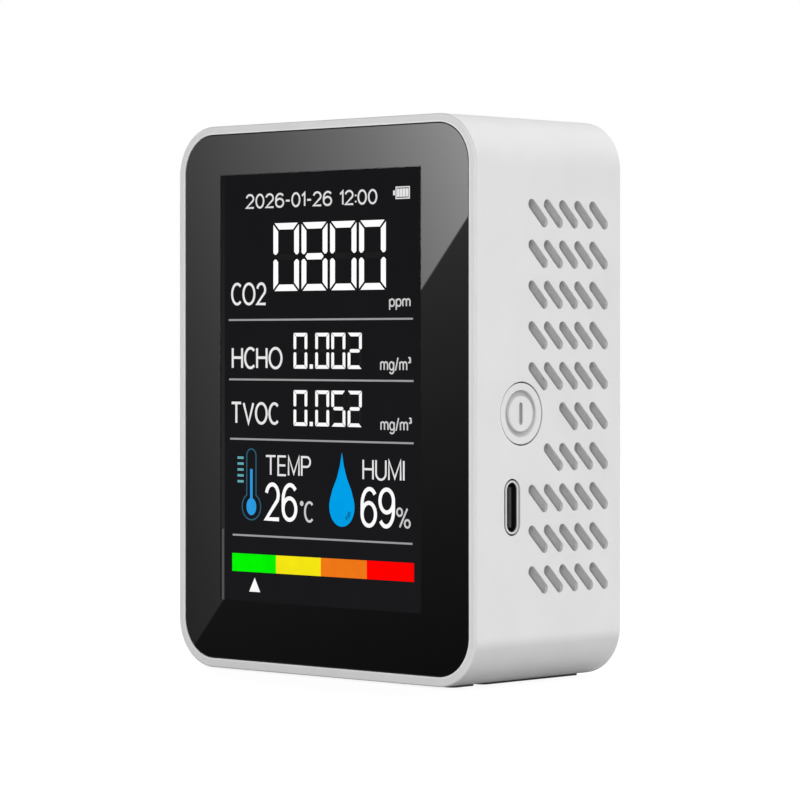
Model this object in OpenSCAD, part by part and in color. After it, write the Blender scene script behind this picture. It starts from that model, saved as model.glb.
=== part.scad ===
// Desktop air quality monitor: a one-piece shell with a full-face front glass, a segment
// display, vented sides, an on/off button, a USB-C charging port and a screwed rear cover.
//
// X runs across the front, Y runs from the front to the back, and Z is up. The origin is
// the middle of the footprint, on the surface that the feet stand on. Inside body_frame()
// y is counted back from the front rim and z is counted up from the shell's underside.

/* [Body] */
// Width of the shell across the front
body_w = 70.7; // [70:0.1:76]
// Height of the shell without its feet
body_h = 95; // [94.5:0.5:99]
// Depth of the shell from front rim to back
body_d = 37.2; // [36.8:0.1:42]
// Radius of the four corners seen from the front
corner_r = 8.4; // [8:0.1:9]
// Rounding where the side walls meet the front rim and the back
edge_r = 0.3; // [0.3:0.1:0.8]
// Thickness of the shell walls
wall = 2; // [1.8:0.1:2.2]

/* [Front glass] */
// Width of the bare rim around the front glass
rim = 1.5; // [1.3:0.1:2.5]
// How much wider the rim is below the glass
rim_extra_low = 0.2; // [0:0.1:0.4]
// Thickness of the front glass
lens_t = 1.5; // [1:0.1:1.8]
// How far the front glass sits back from the rim
lens_recess = 0.05; // [0.05:0.05:0.4]

/* [Display] */
// Width of the lit area of the display
view_w = 48.1; // [44:0.1:48.5]
// Height of the lit area of the display
view_h = 74.5; // [70:0.1:74.5]
// Sideways offset of the display, which leaves the board's right edge free for the port
view_shift_x = -1.7; // [-1.8:0.1:0]
// Upward offset of the display from the middle of the front
view_shift_z = 1.65; // [1:0.05:1.7]

/* [Vents] */
// Width of one vent slot
slot_w = 1.8; // [1.2:0.05:1.8]
// Distance between the centres of a slot's round ends
slot_reach = 4.3; // [3.5:0.1:4.6]
// Slope of the slots below the horizontal, running down to the back
slot_slope = 43; // [35:1:50]
// Spacing of the slots from front to back
slot_pitch_y = 3.92; // [3.7:0.01:4.1]
// Spacing of the slot rows
slot_pitch_z = 6.81; // [6.3:0.01:7]
// Rows of slots in each side wall
slot_rows = 10; // [6:1:10]
// Slots in a full row
slot_cols = 5; // [3:1:5]

/* [Button] */
// Diameter of the on/off button
button_dia = 10.2; // [9:0.1:11]
// Height of the button's centre above the underside
button_z = 45.2; // [44:0.1:46]
// How far the button moves when it is pressed
button_travel = 0.3; // [0.2:0.05:0.4]

/* [Charging port] */
// Height of the port's centre above the underside
port_z = 29.7; // [24:0.1:31]

/* [Feet] */
// How far the rubber feet stand out below the shell
foot_proud = 0.4; // [0.2:0.1:1]

/* [Rear cover] */
// Thickness of the rear cover
cover_t = 2; // [1.8:0.1:2.4]

/* [Hidden] */
$fn = 72;
// Margin by which a cutter passes the surface it cuts
over = 1;
// Gap left between two pieces that are assembled without play
fit = 0.05;

// Shell
mid_z = body_h / 2;
inner_w = body_w - 2 * wall;
inner_h = body_h - 2 * wall;
inner_r = corner_r - wall;
inner_x = inner_w / 2;

// Front glass and the ledge that carries it
lens_w = body_w - 2 * rim;
lens_h = body_h - 2 * rim - rim_extra_low;
lens_z = mid_z + rim_extra_low / 2;
lens_r = corner_r - rim;
lens_gap = 0.08;
lens_edge_r = 0.15;
lens_back = lens_recess + lens_t;
tape_t = 0.15;
tape_inset = 0.5;
ledge_front = lens_back + tape_t;
ledge_t = 1.6;
ledge_back = ledge_front + ledge_t;

// Display stack
panel_border_x = 1.6;
panel_border_top = 1.4;
panel_border_bottom = 3;
panel_w = view_w + 2 * panel_border_x;
panel_x0 = view_shift_x - panel_w / 2;
panel_z0 = mid_z + view_shift_z - view_h / 2 - panel_border_bottom;
panel_z1 = mid_z + view_shift_z + view_h / 2 + panel_border_top;
panel_h = panel_z1 - panel_z0;
panel_front = lens_back + 0.3;
panel_t = 1.8;
panel_play = 0.2;
backlight_front = panel_front + panel_t + fit;
backlight_t = 2;
backlight_back = backlight_front + backlight_t;
frame_wall = 0.5;
frame_front = ledge_back + fit;
pin_pitch = 2;
pin_count = 20;
pin_w = 0.4;
pin_t = 0.3;
pin_drop = 0.4;
pin_tail = 0.8;
pin_space = 1.1;
pin_clip_t = 0.8;
pin_setback = 0.3;
pin_hole_dia = 0.8;

// Main board, which lies parallel to the front behind the display
board_lift = 0.2;
board_front = backlight_back + board_lift;
board_t = 1.6;
board_back = board_front + board_t;
board_w = inner_w - 3.5;
board_h = inner_h - 1.8;
board_r = 8;
board_screw_x = 10;
board_boss_r = 1.8;
board_post_gap = 0.4;

// Rear cover and its screw posts
cover_rebate = 0.8;
cover_gap = 0.15;
cover_front = body_d - cover_t;
cover_w = inner_w + 2 * cover_rebate - 2 * cover_gap;
cover_h = inner_h + 2 * cover_rebate - 2 * cover_gap;
cover_r = inner_r + cover_rebate - cover_gap;
cover_edge_r = 0.3;
cover_slots_z = body_h * 0.8;
lip_t = 1;
lip_depth = 1.5;
post_r = 2.1;
post_web_t = 1.2;
post_x = 22.5;
post_inset = wall + 2.3;
pilot_dia = 1.7;
pilot_depth = 9;

// Screws
screw_shank_dia = 1.6;
screw_head_dia = 3.4;
cover_shank_len = 8;
board_shank_len = 3.6;
screw_head_t = 1;
screw_hole_dia = 2.1;
screw_well_dia = 4.2;
screw_well_depth = 1.15;
cross_reach = 1.9;
cross_w = 0.45;
cross_depth = 0.6;

// Vents
vent_skin = 0.6;
filter_x = body_w / 2 - vent_skin;
vent_margin = 0.6;
filter_t = 0.5;
filter_gap = 0.15;
slot_half_y = (slot_reach * cos(slot_slope) + slot_w) / 2;
slot_half_z = (slot_reach * sin(slot_slope) + slot_w) / 2;
vent_mid_z = mid_z + 0.5;
vent_back_land = 3.4;
vent_y1 = body_d - vent_back_land + vent_margin;
vent_last_y = body_d - vent_back_land - slot_half_y;
vent_first_y = vent_last_y - (slot_cols - 1) * slot_pitch_y;
vent_y0 = vent_first_y - slot_half_y - vent_margin;
vent_half_z = (slot_rows - 1) * slot_pitch_z / 2 + slot_half_z + vent_margin;
// Least distance from the button's rim to the round end of a slot
button_clearance = 2;

// Button and its switch
button_y = 11.45;
button_recess = 0.1;
button_gap = 0.25;
button_hole_dia = button_dia + 2 * button_gap;
button_face_x = body_w / 2 - button_recess;
flange_t = 0.8;
flange_r = button_dia / 2 + 0.85;
flange_flat = 5.6;
flange_x1 = inner_x - fit;
flange_x0 = flange_x1 - flange_t;
flange_clear_r = flange_r + 0.4;
groove_dia = 6.9;
groove_r = 0.5;
bar_w = 1.05;
bar_h = 3.75;
bar_depth = 0.6;
stem_dia = 4.4;
guide_t = 1;
guide_depth = 2.2;
guide_len = 2.8;
switch_w = 7;
switch_h = 6.6;
switch_d = 4;
switch_x1 = 28.5;
plunger_dia = 3.3;
plunger_x1 = 30.7;
plunger_root = 1;

// Charging port: the metal shell of a USB-C receptacle lying on the board
port_shell_h = 8.94;
port_shell_t = 3.26;
port_wall = 0.35;
port_y = board_back + port_shell_t / 2;
port_x1 = body_w / 2 - 0.05;
port_len = 7.75;
port_x0 = port_x1 - port_len;
port_cutout_h = 9.5;
port_cutout_t = 4.05;
tongue_t = 0.7;
tongue_w = 6.69;
tongue_setback = 0.5;
port_block_len = 2.4;
contact_count = 12;
contact_pitch = 0.5;
contact_w = 0.25;
contact_t = 0.06;
contact_len = 3.6;

// Feet
foot_t = 1;
foot_w = 5;
foot_r = 1.2;
foot_x = body_w / 2 - corner_r - foot_w / 2;
front_foot_y0 = 3.7;
front_foot_len = 6;
rear_foot_y0 = 11.3;
rear_foot_len = 25;

// Battery, glued to the inside of the rear cover
battery_w = 34;
battery_h = 50;
battery_t = 10;
battery_z0 = 20;
battery_edge_r = 2.4;
pad_t = 0.8;
pad_w = 24;
pad_h = 40;
battery_back = cover_front - pad_t;
battery_front = battery_back - battery_t;
protection_h = 3;
protection_t = 5;
protection_w = 28;
lead_dia = 1.1;
lead_pitch = 2;
lead_x = -5.25;
lead_y = battery_front + battery_t / 2;
lead_rise = 2;
lead_bend_r = 4;
lead_z0 = battery_z0 + battery_h + protection_h;
lead_z1 = lead_z0 + lead_rise + lead_bend_r;
socket_w = 6;
socket_h = 4.6;
socket_t = 6;
socket_wall = 0.5;
plug_t = 6.2;
plug_lift = 1;
plug_play = 0.1;
plug_w = socket_w - 2 * (socket_wall + plug_play);
plug_h = socket_h - 2 * (socket_wall + plug_play);

// Sensors and chips on the back of the board: [x, z] of each centre
co2_at = [14, 70.5];
co2_board_w = 20;
co2_board_h = 33;
co2_board_t = 1;
co2_lift = 2.5;
co2_chamber_w = 17;
co2_chamber_h = 23;
co2_chamber_t = 7;
co2_back = board_back + co2_lift + co2_board_t;
membrane_w = 11;
membrane_h = 4;
membrane_t = 0.25;
header_pitch = 2.54;
header_pin_w = 0.64;
formaldehyde_at = [-18, 60];
formaldehyde_dia = 13;
formaldehyde_t = 8;
gas_cap_t = 0.6;
gas_hole_dia = 1.2;
gas_ring_r = 3;
voc_at = [-21, 42];
voc_dia = 8.2;
voc_t = 5.5;
voc_window_dia = 6.2;
voc_window_depth = 1;
humidity_at = [-25, 22];
humidity_w = 3;
humidity_t = 1;
chip_t = 1.4;
chip_lift = 0.2;
chip_pin_len = 0.9;
chip_pin_w = 0.24;
controller_at = [0, 38];
controller_size = 7;
controller_pins = 12;
charger_at = [17, 20];
charger_w = 3.9;
charger_h = 4.9;
inductor_at = [8, 20];
inductor_w = 5.4;
inductor_t = 3.2;
inductor_flange_t = 0.5;
capacitor_at = [[-6, 16], [-14, 16]];
capacitor_dia = 5;
capacitor_t = 5.8;
capacitor_base_t = 0.8;
crystal_at = [-9, 34];
crystal_w = 5;
crystal_h = 3.2;
crystal_t = 0.9;
crystal_base_t = 0.4;
resistor_at = [-4, 28];
resistor_pitch = 2.4;

// Label
label_w = 38;
label_h = 16;
label_t = 0.12;
label_r = 1.5;
label_z = 22;

// ---------------------------------------------------------------- shared shapes

// Moves children from the shell's own coordinates into the part's frame
module body_frame() translate([0, -body_d / 2, foot_proud]) children();

// Extrudes a 2D shape drawn in X and Z from y0 back to y1
module slab(y0, y1) translate([0, y1, 0]) rotate([90, 0, 0]) linear_extrude(y1 - y0) children();

// Extrudes a 2D shape drawn in Y and Z from x0 across to x1
module side_slab(x0, x1)
    translate([x0, 0, 0]) rotate([90, 0, 90]) linear_extrude(x1 - x0) children();

module rounded_rect(w, h, r) {
    square([w - 2 * r, h], center = true);
    square([w, h - 2 * r], center = true);
    for (x = [-1, 1], y = [-1, 1])
        translate([x * (w / 2 - r), y * (h / 2 - r)]) circle(r);
}

// Upright rounded rectangle centred on the front, drawn in X and Z
module face_outline(w, h, r) translate([0, mid_z]) rounded_rect(w, h, r);

// Straight slot with round ends, centred and lying along the first axis
module stadium(reach, w) {
    square([reach, w], center = true);
    for (s = [-1, 1]) translate([s * reach / 2, 0]) circle(d = w);
}

// Block with round corners of radius r seen from the front and edges rounded by e,
// centred on the origin: two crossing bars and a turned puck in each corner
module rounded_block(w, h, d, r, e) {
    side_slab(-(w / 2 - r), w / 2 - r) rounded_rect(d, h, e);
    translate([0, 0, -(h / 2 - r)]) linear_extrude(h - 2 * r) rounded_rect(w, d, e);
    for (x = [-1, 1], z = [-1, 1])
        translate([x * (w / 2 - r), 0, z * (h / 2 - r)]) rotate([90, 0, 0]) turned_puck(r, d, e);
}

// Disc of radius r and thickness d about Z, with its rim rounded by e
module turned_puck(r, d, e) rotate_extrude() intersection() {
    rounded_rect(2 * r, d, e);
    translate([0, -d / 2]) square([r, d]);
}

// Rectangular block that stands on the back of the main board
module chip(at, w, h, t, lift = 0)
    translate([at[0] - w / 2, board_back + lift, at[1] - h / 2]) cube([w, t, h]);

// Round body that stands on the back of the main board
module can(at, dia, t, lift = 0)
    slab(board_back + lift, board_back + lift + t) translate(at) circle(d = dia);

// ---------------------------------------------------------------- places of repeated parts

// The four places at distance x from the middle, near the top and near the bottom
module four_places(x)
    for (side = [-1, 1], z = [post_inset, body_h - post_inset])
        translate([side * x, z]) children();

module at_posts() four_places(post_x) children();

module at_board_screws() four_places(board_screw_x) children();

module at_pins()
    for (i = [0 : pin_count - 1])
        translate([
            view_shift_x + (i - (pin_count - 1) / 2) * pin_pitch,
            panel_z0 - pin_drop - pin_t / 2
        ]) children();

// A screw post and the web that ties it to the nearer wall, both grown by gap
module post_outline(gap) {
    at_posts() circle(post_r + gap);
    for (side = [-1, 1], z = [wall / 2, body_h - post_inset])
        translate([side * post_x - post_web_t / 2 - gap, z])
            square([post_web_t + 2 * gap, post_inset - wall / 2]);
}

// ---------------------------------------------------------------- vents

// Middle of a side-wall slot in Y and Z; row 0 is the top one
function slot_at(row, col) = [
    vent_first_y + col * slot_pitch_y,
    vent_mid_z + ((slot_rows - 1) / 2 - row) * slot_pitch_z
];

// True where both round ends of the slot at this place keep clear of the button
function clears_button(at) = min([for (s = [-1, 1])
    norm(at + s * slot_reach / 2 * [cos(slot_slope), -sin(slot_slope)] - [button_y, button_z])
]) > button_dia / 2 + button_clearance;

// Side-wall slots in Y and Z; the right wall leaves room for the button
module vent_slots(beside_button)
    for (row = [0 : slot_rows - 1], col = [0 : slot_cols - 1])
        if (!beside_button || clears_button(slot_at(row, col)))
            translate(slot_at(row, col)) rotate(-slot_slope) stadium(slot_reach, slot_w);

// Area behind the slots that the dust filter covers, in Y and Z
module filter_area(shrink, beside_button) difference() {
    translate([vent_y0 + shrink, vent_mid_z - vent_half_z + shrink])
        square([vent_y1 - vent_y0 - 2 * shrink, 2 * (vent_half_z - shrink)]);
    if (beside_button) translate([button_y, button_z]) circle(flange_clear_r + shrink);
}

// ---------------------------------------------------------------- casing

module housing() color("gainsboro") body_frame() difference() {
    union() {
        housing_shell();
        housing_bosses();
    }
    housing_holes();
}

module housing_shell() difference() {
    translate([0, body_d / 2, mid_z]) rounded_block(body_w, body_h, body_d, corner_r, edge_r);
    slab(ledge_back, body_d + over) face_outline(inner_w, inner_h, inner_r);
    slab(cover_front, body_d + over)
        face_outline(inner_w + 2 * cover_rebate, inner_h + 2 * cover_rebate, inner_r + cover_rebate);
}

// Screw posts for the cover, short bosses for the board and the button's guide ribs
module housing_bosses() {
    slab(ledge_back - fit, cover_front) post_outline(0);
    slab(ledge_back - fit, board_front) at_board_screws() circle(board_boss_r);
    side_slab(inner_x - guide_depth, inner_x + wall / 2) guide_outline();
}

// The two ribs above and below the button's flange that keep it from turning
module guide_outline() translate([button_y, button_z]) difference() {
    square([guide_len, 2 * (flange_flat + button_gap + guide_t)], center = true);
    square([guide_len + over, 2 * (flange_flat + button_gap)], center = true);
}

module housing_holes() {
    slab(-over, ledge_front) lens_outline(lens_gap);
    slab(-over, ledge_back + over) display_opening();
    side_slab(0, body_w) vent_slots(true);
    side_slab(-body_w, 0) vent_slots(false);
    side_slab(0, filter_x) filter_area(0, true);
    side_slab(-filter_x, 0) filter_area(0, false);
    side_slab(0, body_w) translate([button_y, button_z]) circle(d = button_hole_dia);
    side_slab(0, body_w) translate([port_y, port_z]) rotate(90)
        stadium(port_cutout_h - port_cutout_t, port_cutout_t);
    slab(cover_front - pilot_depth, body_d) at_posts() circle(d = pilot_dia);
    slab(ledge_back + fit, body_d / 2) at_board_screws() circle(d = pilot_dia);
    translate([0, 0, -over]) linear_extrude(over + foot_t - foot_proud) {
        foot_outline(front_foot_y0, front_foot_len, 0);
        foot_outline(rear_foot_y0, rear_foot_len, 0);
    }
}

// Opening in the ledge for the display panel and, below it, its pins
module display_opening() translate([panel_x0 - panel_play, panel_z0 - pin_space])
    square([panel_w + 2 * panel_play, panel_h + pin_space + panel_play]);

module rear_cover() color("gainsboro") body_frame() difference() {
    union() {
        translate([0, cover_front + cover_t / 2, mid_z])
            rounded_block(cover_w, cover_h, cover_t, cover_r, cover_edge_r);
        cover_lip();
    }
    slab(cover_front - lip_depth - over, body_d + over) at_posts() circle(d = screw_hole_dia);
    slab(body_d - screw_well_depth, body_d + over) at_posts() circle(d = screw_well_dia);
    slab(cover_front - over, body_d + over) cover_slots();
    slab(body_d - label_t - fit, body_d + over) label_outline(fit);
}

// Thin wall that centres the cover inside the shell
module cover_lip() difference() {
    slab(cover_front - lip_depth, cover_front + fit) difference() {
        face_outline(inner_w - 2 * cover_gap, inner_h - 2 * cover_gap, inner_r - cover_gap);
        face_outline(inner_w - 2 * cover_gap - 2 * lip_t, inner_h - 2 * cover_gap - 2 * lip_t,
            inner_r - cover_gap - lip_t);
    }
    slab(cover_front - lip_depth - over, cover_front) post_outline(2 * cover_gap);
}

// Three rows of the side-wall slot, high up on the cover
module cover_slots()
    for (row = [0 : 2], col = [-4 : 4])
        translate([col * slot_pitch_y, cover_slots_z - row * slot_pitch_z])
            rotate(-slot_slope) stadium(slot_reach, slot_w);

// Front outline of the glass, grown on all sides
module lens_outline(grow) translate([0, lens_z])
    rounded_rect(lens_w + 2 * grow, lens_h + 2 * grow, lens_r + grow);

module front_lens() color([0.05, 0.05, 0.06]) body_frame()
    translate([0, lens_recess + lens_t / 2, lens_z])
        rounded_block(lens_w, lens_h, lens_t, lens_r, lens_edge_r);

module lens_tape() color("black") body_frame() slab(lens_back, ledge_front) difference() {
    lens_outline(-tape_inset);
    display_opening();
}

module right_dust_filter() color("darkgray") body_frame()
    side_slab(filter_x - filter_t, filter_x) filter_area(filter_gap, true);

module left_dust_filter() color("darkgray") body_frame()
    side_slab(-filter_x, filter_t - filter_x) filter_area(filter_gap, false);

// Plan of a pair of feet in X and Y
module foot_outline(y0, len, shrink)
    for (x = [-1, 1]) translate([x * foot_x, y0 + len / 2])
        rounded_rect(foot_w - 2 * shrink, len - 2 * shrink, foot_r);

module feet(y0, len) color([0.2, 0.2, 0.21]) body_frame()
    translate([0, 0, -foot_proud]) linear_extrude(foot_t) foot_outline(y0, len, fit);

module front_feet() feet(front_foot_y0, front_foot_len);

module rear_feet() feet(rear_foot_y0, rear_foot_len);

module label_outline(grow) translate([0, label_z])
    rounded_rect(label_w + 2 * grow, label_h + 2 * grow, label_r);

module rear_label() color("silver") body_frame()
    slab(body_d - label_t - fit, body_d - fit) label_outline(0);

// ---------------------------------------------------------------- screws

// Screw whose head ends at y1 and whose shank runs towards the front
module screw(y1, shank_len) difference() {
    union() {
        slab(y1 - screw_head_t, y1) circle(d = screw_head_dia);
        slab(y1 - screw_head_t - shank_len, y1 - screw_head_t + fit) circle(d = screw_shank_dia);
    }
    slab(y1 - cross_depth, y1 + over) {
        square([cross_reach, cross_w], center = true);
        square([cross_w, cross_reach], center = true);
    }
}

module four_screws(x, y1, shank_len)
    for (side = [-1, 1], z = [post_inset, body_h - post_inset])
        translate([side * x, 0, z]) screw(y1, shank_len);

module cover_screws() color("silver") body_frame()
    four_screws(post_x, body_d - screw_well_depth + screw_head_t, cover_shank_len);

module board_screws() color("silver") body_frame()
    four_screws(board_screw_x, board_back + screw_head_t, board_shank_len);

// ---------------------------------------------------------------- display

module panel_block(y0, t) translate([panel_x0, y0, panel_z0]) cube([panel_w, t, panel_h]);

module lcd_panel() color([0.09, 0.09, 0.1]) body_frame() panel_block(panel_front, panel_t);

module lcd_backlight() color("white") body_frame() panel_block(backlight_front, backlight_t);

// Three-sided frame that holds the panel and the backlight; its open side is for the pins
module lcd_frame() color("whitesmoke") body_frame() slab(frame_front, board_front - fit) difference() {
    translate([panel_x0 - panel_play - frame_wall, panel_z0])
        square([panel_w + 2 * (panel_play + frame_wall), panel_h + panel_play + frame_wall]);
    translate([panel_x0 - panel_play, panel_z0 - over])
        square([panel_w + 2 * panel_play, panel_h + over + panel_play]);
}

// Bent pins from the bottom edge of the panel straight back through the board
module lcd_pins() color("silver") body_frame() {
    slab(panel_front + pin_setback, board_back + pin_tail) at_pins()
        square([pin_w, pin_t], center = true);
    slab(panel_front + pin_setback, panel_front + pin_setback + pin_clip_t) at_pins()
        translate([0, (pin_t + pin_drop - fit) / 2]) square([pin_w, pin_drop], center = true);
}

// ---------------------------------------------------------------- board and chips

module main_board() color("darkgreen") body_frame() slab(board_front, board_back) difference() {
    face_outline(board_w, board_h, board_r);
    post_outline(board_post_gap);
    at_board_screws() circle(d = screw_hole_dia);
    at_pins() circle(d = pin_hole_dia);
}

// Flat pins along the left and right sides of a chip of width w
module chip_pins(at, w, count, pitch)
    for (side = [-1, 1], i = [0 : count - 1])
        chip([at[0] + side * (w + chip_pin_len) / 2, at[1] + (i - (count - 1) / 2) * pitch],
            chip_pin_len, chip_pin_w, chip_lift);

module microcontroller() color([0.12, 0.12, 0.13]) body_frame()
    chip(controller_at, controller_size, controller_size, chip_t, chip_lift);

module microcontroller_pins() color("silver") body_frame()
    translate([controller_at[0], 0, controller_at[1]]) for (turn = [0, 90])
        rotate([0, turn, 0]) chip_pins([0, 0], controller_size, controller_pins, 0.5);

module charger_chip() color([0.12, 0.12, 0.13]) body_frame()
    chip(charger_at, charger_w, charger_h, chip_t, chip_lift);

module charger_chip_pins() color("silver") body_frame() chip_pins(charger_at, charger_w, 4, 1.27);

// Coil between two square flanges
module power_inductor() color("dimgray") body_frame() {
    for (lift = [0, inductor_t - inductor_flange_t])
        chip(inductor_at, inductor_w, inductor_w, inductor_flange_t, lift);
    can(inductor_at, inductor_w - 0.6, inductor_t - inductor_flange_t, inductor_flange_t / 2);
}

// Round cans on square bases
module capacitors() color("silver") body_frame() for (at = capacitor_at) {
    chip(at, capacitor_dia + 0.3, capacitor_dia + 0.3, capacitor_base_t);
    can(at, capacitor_dia, capacitor_t - capacitor_base_t + fit, capacitor_base_t - fit);
}

// Metal lid on a slightly wider base
module crystal() color("lightgray") body_frame() {
    chip(crystal_at, crystal_w, crystal_h, crystal_base_t);
    chip(crystal_at, crystal_w - 0.4, crystal_h - 0.4, crystal_t, crystal_base_t - fit);
}

module resistors() color([0.2, 0.2, 0.22]) body_frame()
    for (i = [0 : 4], j = [0, 1])
        chip([resistor_at[0] + i * resistor_pitch, resistor_at[1] - j * resistor_pitch], 1.6, 0.8, 0.45);

// ---------------------------------------------------------------- charging port

module port_outline(h, t) translate([port_y, port_z]) rotate(90) stadium(h - t, t);

module usb_shell() color("silver") body_frame() difference() {
    side_slab(port_x0, port_x1) port_outline(port_shell_h, port_shell_t);
    side_slab(port_x0 + port_wall, port_x1 + over)
        port_outline(port_shell_h - 2 * port_wall, port_shell_t - 2 * port_wall);
}

module usb_insulator() color([0.07, 0.07, 0.07]) body_frame() {
    side_slab(port_x0 + port_wall, port_x0 + port_wall + port_block_len)
        port_outline(port_shell_h - 2 * port_wall - 2 * fit, port_shell_t - 2 * port_wall - 2 * fit);
    translate([port_x0 + port_wall, port_y - tongue_t / 2, port_z - tongue_w / 2])
        cube([port_x1 - tongue_setback - port_x0 - port_wall, tongue_t, tongue_w]);
}

module usb_contacts() color("gold") body_frame()
    for (s = [-1, 1], i = [0 : contact_count - 1])
        translate([
            port_x1 - tongue_setback - 0.3 - contact_len,
            port_y + s * (tongue_t + contact_t) / 2 - contact_t / 2,
            port_z + (i - (contact_count - 1) / 2) * contact_pitch - contact_w / 2
        ]) cube([contact_len, contact_t, contact_w]);

// ---------------------------------------------------------------- button and switch

module at_button() translate([0, button_y, button_z]) rotate([90, 0, 90]) children();

// Turned cap with a round groove and an engraved bar, a keyed flange and a stem
module button_cap() color("gainsboro") body_frame() at_button() difference() {
    union() {
        translate([0, 0, flange_x1 - fit])
            cylinder(d = button_dia, h = button_face_x - flange_x1 + fit);
        translate([0, 0, flange_x0]) linear_extrude(flange_t) intersection() {
            circle(flange_r);
            square([2 * flange_r, 2 * flange_flat], center = true);
        }
        translate([0, 0, plunger_x1 + fit]) cylinder(d = stem_dia, h = flange_x0 - plunger_x1);
    }
    translate([0, 0, button_face_x]) rotate_extrude() translate([groove_dia / 2, 0]) circle(groove_r);
    translate([0, 0, button_face_x - bar_depth]) linear_extrude(over)
        rotate(90) stadium(bar_h - bar_w, bar_w);
}

module switch_body() color([0.13, 0.13, 0.14]) body_frame() difference() {
    chip([switch_x1 - switch_d / 2, button_z], switch_d, switch_w, switch_h);
    at_button() translate([0, 0, switch_x1 - plunger_root - 2 * button_travel])
        cylinder(d = plunger_dia + 2 * button_gap, h = switch_d);
}

module switch_plunger() color("ivory") body_frame() at_button()
    translate([0, 0, switch_x1 - plunger_root])
        cylinder(d = plunger_dia, h = plunger_x1 - switch_x1 + plunger_root);

// ---------------------------------------------------------------- sensors

module co2_sensor_board() color("darkgreen") body_frame()
    chip(co2_at, co2_board_w, co2_board_h, co2_board_t, co2_lift);

module co2_sensor_chamber() color("goldenrod") body_frame()
    translate([co2_at[0], co2_back + co2_chamber_t / 2, co2_at[1]])
        rounded_block(co2_chamber_w, co2_chamber_h, co2_chamber_t, 1.5, 0.5);

module co2_sensor_membranes() color("white") body_frame()
    for (side = [-1, 1])
        chip([co2_at[0], co2_at[1] + side * co2_chamber_h / 4], membrane_w, membrane_h, membrane_t,
            co2_lift + co2_board_t + co2_chamber_t);

// Two rows of four header pins that hold the sensor off the main board
module co2_sensor_pins() color("gold") body_frame()
    for (side = [-1, 1], i = [0 : 3])
        chip([co2_at[0] + (i - 1.5) * header_pitch, co2_at[1] + side * (co2_board_h / 2 - 1.5)],
            header_pin_w, header_pin_w, co2_lift);

module formaldehyde_sensor() color("white") body_frame()
    can(formaldehyde_at, formaldehyde_dia, formaldehyde_t);

// Round lid with a ring of gas holes around a middle hole
module formaldehyde_sensor_cap() color("silver") body_frame() difference() {
    can(formaldehyde_at, formaldehyde_dia - 1, gas_cap_t, formaldehyde_t);
    can(formaldehyde_at, gas_hole_dia, gas_cap_t + over, formaldehyde_t - fit);
    for (turn = [0 : 60 : 300])
        can(formaldehyde_at + gas_ring_r * [cos(turn), sin(turn)], gas_hole_dia, gas_cap_t + over,
            formaldehyde_t - fit);
}

module voc_sensor() color("silver") body_frame() difference() {
    can(voc_at, voc_dia, voc_t);
    can(voc_at, voc_window_dia, voc_t, voc_t - voc_window_depth);
}

module voc_sensor_mesh() color("dimgray") body_frame()
    can(voc_at, voc_window_dia - 2 * fit, 0.3, voc_t - voc_window_depth);

// Small square chip with a round air hole
module humidity_sensor() color([0.15, 0.15, 0.16]) body_frame() difference() {
    chip(humidity_at, humidity_w, humidity_w, humidity_t);
    can(humidity_at, 1.2, humidity_t, humidity_t / 2);
}

// ---------------------------------------------------------------- battery

module battery() color("silver") body_frame()
    translate([0, battery_front + battery_t / 2, battery_z0 + battery_h / 2])
        rounded_block(battery_w, battery_h, battery_t, battery_edge_r + 0.6, battery_edge_r);

module battery_protection_board() color("darkgoldenrod") body_frame()
    translate([-protection_w / 2, lead_y - protection_t / 2, battery_z0 + battery_h])
        cube([protection_w, protection_t, protection_h]);

module battery_pad() color("white") body_frame()
    translate([-pad_w / 2, battery_back, battery_z0 + (battery_h - pad_h) / 2])
        cube([pad_w, pad_t, pad_h]);

// Lead that rises from the protection board and bends forwards to the plug
module lead(x) translate([x, 0, 0]) {
    translate([0, lead_y, lead_z0]) cylinder(d = lead_dia, h = lead_rise);
    translate([0, lead_y - lead_bend_r, lead_z0 + lead_rise]) rotate([90, 0, 90])
        rotate_extrude(angle = 90) translate([lead_bend_r, 0]) circle(d = lead_dia);
    slab(board_back + plug_lift + plug_t, lead_y - lead_bend_r)
        translate([0, lead_z1]) circle(d = lead_dia);
}

module battery_lead_red() color("red") body_frame() lead(lead_x - lead_pitch / 2);

module battery_lead_black() color([0.1, 0.1, 0.1]) body_frame() lead(lead_x + lead_pitch / 2);

module battery_socket() color("ivory") body_frame() difference() {
    chip([lead_x, lead_z1], socket_w, socket_h, socket_t);
    chip([lead_x, lead_z1], socket_w - 2 * socket_wall, socket_h - 2 * socket_wall, socket_t,
        plug_lift - fit);
}

module battery_plug() color("white") body_frame()
    chip([lead_x, lead_z1], plug_w, plug_h, plug_t, plug_lift);

housing();
rear_cover();
front_lens();
lens_tape();
lcd_panel();
lcd_backlight();
lcd_frame();
lcd_pins();
main_board();
microcontroller();
microcontroller_pins();
charger_chip();
charger_chip_pins();
power_inductor();
capacitors();
crystal();
resistors();
usb_shell();
usb_insulator();
usb_contacts();
button_cap();
switch_body();
switch_plunger();
co2_sensor_board();
co2_sensor_chamber();
co2_sensor_membranes();
co2_sensor_pins();
formaldehyde_sensor();
formaldehyde_sensor_cap();
voc_sensor();
voc_sensor_mesh();
humidity_sensor();
battery();
battery_protection_board();
battery_pad();
battery_lead_red();
battery_lead_black();
battery_plug();
battery_socket();
right_dust_filter();
left_dust_filter();
front_feet();
rear_feet();
rear_label();
board_screws();
cover_screws();
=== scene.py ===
"""Looks of a desktop air quality monitor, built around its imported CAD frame.

The CAD nodes keep their shapes and get node materials. The picture on the display is built here
as thin closed plates on the front of the display panel. Everything is in metres, in the frame's
own axes: X runs to the right, Y from front to back and Z up.
"""

import math

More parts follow.
